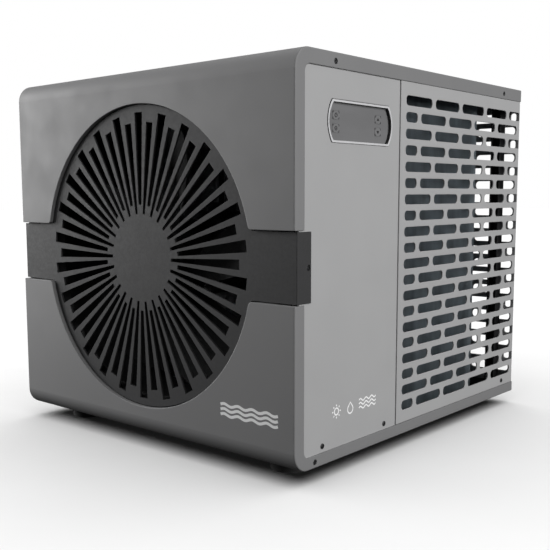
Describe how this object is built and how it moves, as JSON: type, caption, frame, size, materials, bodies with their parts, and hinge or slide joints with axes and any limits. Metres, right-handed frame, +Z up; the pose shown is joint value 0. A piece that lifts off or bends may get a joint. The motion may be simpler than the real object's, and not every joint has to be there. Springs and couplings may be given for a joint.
{
  "type": "pool heat pump",
  "caption": "Compact box-shaped pool heat pump with a round radial-slot fan grille, side control display, louvred side vents and stepped hose unions.",
  "frame": {"origin": "on the floor, under the centre of the whole unit including its water unions", "axes": "+Z up; the fan grille faces -Y; the control display faces +X; the water unions point to -X"},
  "size_m": [0.4067, 0.364, 0.322],
  "materials": {
    "shell_grey": "fine satin powder coat, dark grey",
    "panel_grey": "fine satin powder coat, light grey",
    "charcoal_plastic": "fine-grained moulded charcoal",
    "black_plastic": "moulded black",
    "bezel_grey": "satin silver-grey moulding",
    "membrane": "satin keypad window",
    "key_plastic": "satin key cap with a dark symbol",
    "circuit_board": "green solder mask",
    "component_black": "moulded component bodies",
    "galvanised": "galvanised sheet",
    "black_steel": "black enamel",
    "screw_steel": "blackened zinc",
    "rubber": "moulded black rubber",
    "coil_fins": "blue hydrophilic fin coating",
    "copper": "drawn copper",
    "brass": "turned brass",
    "exchanger_shell": "black moulded vessel",
    "union_plastic": "light grey moulded fitting",
    "fan_plastic": "glass-filled black",
    "motor_can": "black enamel motor can",
    "shaft_steel": "ground steel",
    "lead_jacket": "black lead jacket"
  },
  "bodies": {
    "casing": {"upper_shell": "shell_grey", "lower_shell": "shell_grey", "front_grille": "charcoal_plastic", "control_cover": "panel_grey", "side_vent_panel": "panel_grey", "rear_vent_panel": "panel_grey", "left_panel": "panel_grey", "rear_posts": "black_steel", "side_mullion": "galvanised", "rubber_feet": "rubber", "foot_screws": "screw_steel", "drain_pan": "black_plastic", "drain_nozzle": "black_plastic", "display_bezel": "bezel_grey", "display_window": "membrane", "display_board": "circuit_board", "display_module": "component_black", "key_switches": "component_black", "fan_shroud": "black_plastic", "shroud_studs": "screw_steel", "fan_motor": "motor_can", "motor_bracket": "galvanised", "motor_screws": "screw_steel", "evaporator_fins": "coil_fins", "evaporator_end_plates": "galvanised", "evaporator_return_bends": "copper", "partition": "galvanised", "compressor": "black_steel", "compressor_grommets": "rubber", "compressor_bolts": "screw_steel", "terminal_cover": "black_plastic", "accumulator": "black_steel", "heat_exchanger": "exchanger_shell", "exchanger_cradle": "rubber", "four_way_valve": "brass", "valve_coil": "component_black", "gas_pipes": "copper", "liquid_pipe": "copper", "filter_drier": "copper", "capillary_tube": "copper", "water_nozzles": "union_plastic", "union_seals": "rubber", "hose_tails": "union_plastic", "electrics_box": "galvanised", "electrics_lid": "galvanised", "control_board": "circuit_board", "board_components": "component_black", "terminal_block": "component_black", "cable_gland": "black_plastic", "internal_leads": "lead_jacket", "casing_screws": "screw_steel"},
    "fan": {"fan_rotor": "fan_plastic", "fan_shaft": "shaft_steel", "fan_nut": "screw_steel"},
    "inlet_nut": {"union_nut_inlet": "black_plastic"},
    "outlet_nut": {"union_nut_outlet": "black_plastic"},
    "key_mode_cap": {"key_mode": "key_plastic"},
    "key_power_cap": {"key_power": "key_plastic"},
    "key_down_cap": {"key_down": "key_plastic"},
    "key_up_cap": {"key_up": "key_plastic"}
  },
  "joints": [
    {"name": "fan_spin", "type": "hinge", "parent": "casing", "child": "fan", "pos_m": [0.033, -0.142, 0.165], "axis": [0, 1, 0], "continuous": true},
    {"name": "inlet_nut_turn", "type": "hinge", "parent": "casing", "child": "inlet_nut", "pos_m": [-0.153, 0.108, 0.076], "axis": [1, 0, 0], "continuous": true},
    {"name": "outlet_nut_turn", "type": "hinge", "parent": "casing", "child": "outlet_nut", "pos_m": [-0.153, 0.108, 0.182], "axis": [1, 0, 0], "continuous": true},
    {"name": "key_mode_press", "type": "slide", "parent": "casing", "child": "key_mode_cap", "axis": [-1, 0, 0], "range_m": [0, 0.0006], "stiffness_N_per_m": 1200, "springref_m": -0.0006},
    {"name": "key_power_press", "type": "slide", "parent": "casing", "child": "key_power_cap", "axis": [-1, 0, 0], "range_m": [0, 0.0006], "stiffness_N_per_m": 1200, "springref_m": -0.0006},
    {"name": "key_down_press", "type": "slide", "parent": "casing", "child": "key_down_cap", "axis": [-1, 0, 0], "range_m": [0, 0.0006], "stiffness_N_per_m": 1200, "springref_m": -0.0006},
    {"name": "key_up_press", "type": "slide", "parent": "casing", "child": "key_up_cap", "axis": [-1, 0, 0], "range_m": [0, 0.0006], "stiffness_N_per_m": 1200, "springref_m": -0.0006}
  ]
}
